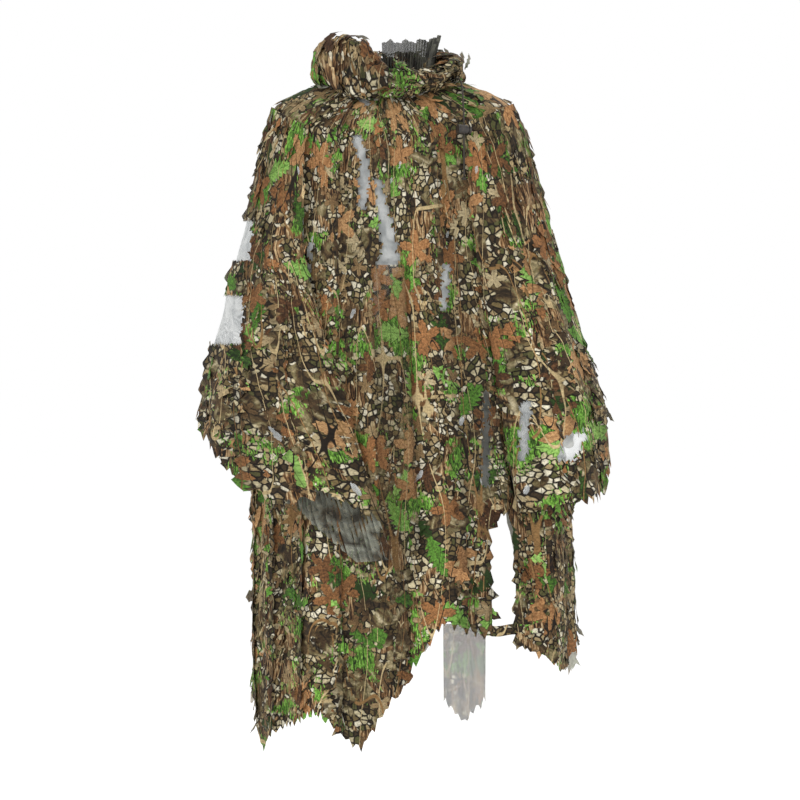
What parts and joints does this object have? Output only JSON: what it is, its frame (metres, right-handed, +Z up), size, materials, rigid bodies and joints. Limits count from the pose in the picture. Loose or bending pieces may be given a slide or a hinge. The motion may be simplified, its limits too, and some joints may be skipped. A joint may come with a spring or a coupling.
{
  "type": "ghillie poncho",
  "caption": "Hooded leaf-cut camouflage poncho with wide bell sleeves, net base, printed strips, free front strip and a cord lock on the hood cord.",
  "frame": {"origin": "middle of the garment at the neck opening, at the height where the neck seam rests on a wearer or hanger", "axes": "+Z up, the front faces -Y, the wearer's left arm is on +X"},
  "size_m": [0.7176, 0.4103, 1.228],
  "materials": {
    "netting": "sheer dull grey-green mesh",
    "leaf_print": "matte camouflage print of litter, bark and leaves",
    "binding": "plain woven tape",
    "cord": "braided cord",
    "lock_plastic": "moulded black plastic",
    "spring_steel": "bright wire",
    "eyelet_metal": "black enamelled"
  },
  "bodies": {
    "garment": {"net_front_right": "netting", "net_front_left": "netting", "net_back": "netting", "net_side_right": "netting", "net_side_left": "netting", "net_shoulder_right": "netting", "net_shoulder_left": "netting", "front_strip_right_outer": "leaf_print", "front_strip_right_inner": "leaf_print", "front_strip_left_inner": "leaf_print", "front_strip_left_outer": "leaf_print", "back_strip_1": "leaf_print", "back_strip_2": "leaf_print", "back_strip_3": "leaf_print", "back_strip_4": "leaf_print", "back_strip_5": "leaf_print", "side_strip_right_1": "leaf_print", "side_strip_right_2": "leaf_print", "side_strip_right_3": "leaf_print", "side_strip_right_4": "leaf_print", "side_strip_right_5": "leaf_print", "side_strip_left_1": "leaf_print", "side_strip_left_2": "leaf_print", "side_strip_left_3": "leaf_print", "side_strip_left_4": "leaf_print", "side_strip_left_5": "leaf_print", "shoulder_cover_right": "leaf_print", "shoulder_cover_left": "leaf_print", "hood_right": "leaf_print", "hood_left": "leaf_print", "hood_lining": "netting", "neck_band": "binding", "hem_tape": "leaf_print", "cord_eyelet": "eyelet_metal", "hood_drawcord": "cord", "cord_knot": "cord"},
    "sleeve_right": {"sleeve_right_top": "netting", "sleeve_right_underside": "netting", "sleeve_right_strip_1": "leaf_print", "sleeve_right_strip_2": "leaf_print", "sleeve_right_strip_3": "leaf_print", "sleeve_right_strip_4": "leaf_print", "sleeve_right_strip_5": "leaf_print", "sleeve_right_strip_6": "leaf_print"},
    "sleeve_left": {"sleeve_left_top": "netting", "sleeve_left_underside": "netting", "sleeve_left_strip_1": "leaf_print", "sleeve_left_strip_2": "leaf_print", "sleeve_left_strip_3": "leaf_print", "sleeve_left_strip_4": "leaf_print", "sleeve_left_strip_5": "leaf_print"},
    "placket": {"front_placket": "leaf_print"},
    "tail": {"net_tail": "netting"},
    "cord_lock": {"lock_barrel": "lock_plastic", "lock_spring": "spring_steel"},
    "lock_button": {"lock_plunger": "lock_plastic"}
  },
  "joints": [
    {"name": "sleeve_right_lift", "type": "hinge", "parent": "garment", "child": "sleeve_right", "pos_m": [-0.206, 0, -0.01], "axis": [0, 1, 0], "range_deg": [0, 60]},
    {"name": "sleeve_left_lift", "type": "hinge", "parent": "garment", "child": "sleeve_left", "pos_m": [0.198, 0, -0.01], "axis": [0, -1, 0], "range_deg": [0, 60]},
    {"name": "placket_swing", "type": "hinge", "parent": "garment", "child": "placket", "pos_m": [0.008, -0.1517, -0.2915], "axis": [-1, 0, 0], "range_deg": [0, 60]},
    {"name": "tail_swing", "type": "hinge", "parent": "garment", "child": "tail", "pos_m": [0.13, -0.1712, -0.8906], "axis": [-1, 0, 0], "range_deg": [0, 60]},
    {"name": "cord_lock_slide", "type": "slide", "parent": "garment", "child": "cord_lock", "axis": [0.029, -0.1999, -0.9794], "range_m": [-0.01, 0.07]},
    {"name": "lock_button_press", "type": "slide", "parent": "cord_lock", "child": "lock_button", "axis": [-0.892, -0.4474, 0.0649], "range_m": [0, 0.003], "stiffness_N_per_m": 300, "springref_m": -0.004, "deforming": ["lock_spring"]}
  ]
}
